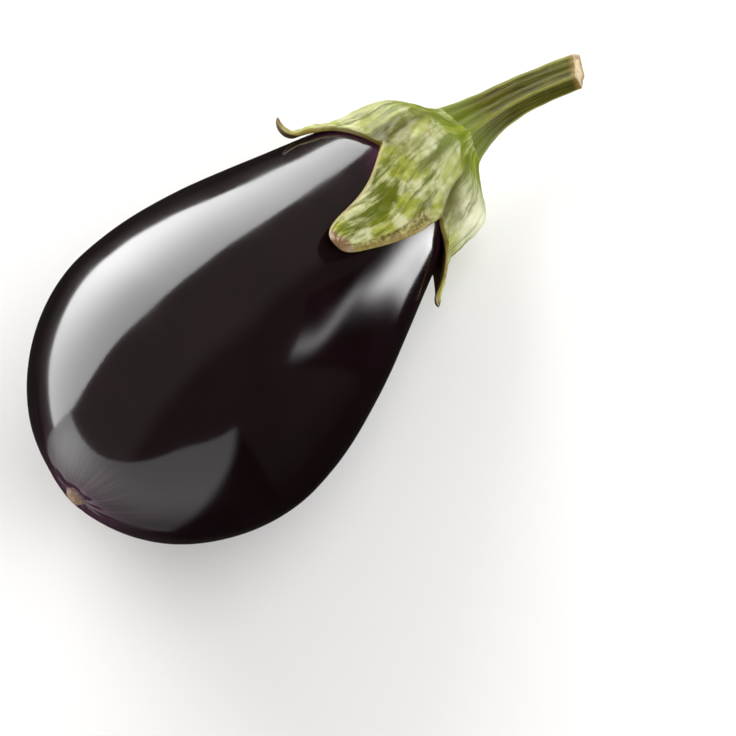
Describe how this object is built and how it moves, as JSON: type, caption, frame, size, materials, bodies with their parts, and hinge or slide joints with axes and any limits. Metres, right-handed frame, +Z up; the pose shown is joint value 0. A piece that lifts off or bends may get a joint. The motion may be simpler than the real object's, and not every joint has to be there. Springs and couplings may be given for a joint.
{
  "type": "eggplant",
  "caption": "Whole globe eggplant lying on its side: a glossy, near-black purple fruit with its green lobed calyx and curved cut stem.",
  "frame": {"origin": "middle of the small flat spot that the belly of the fruit rests on", "axes": "+X along the fruit from its blossom end to its stem end, +Z up from the surface that it lies on"},
  "size_m": [0.1857, 0.086, 0.085],
  "materials": {
    "skin": "smooth waxy plant skin, glossy, near-black purple",
    "calyx": "fleshy green plant tissue, satin, with pale streaks",
    "stem": "fibrous green plant tissue, satin, with long ridges"
  },
  "bodies": {
    "root": {"fruit": "skin", "calyx": "calyx", "stem": "stem"}
  },
  "joints": []
}
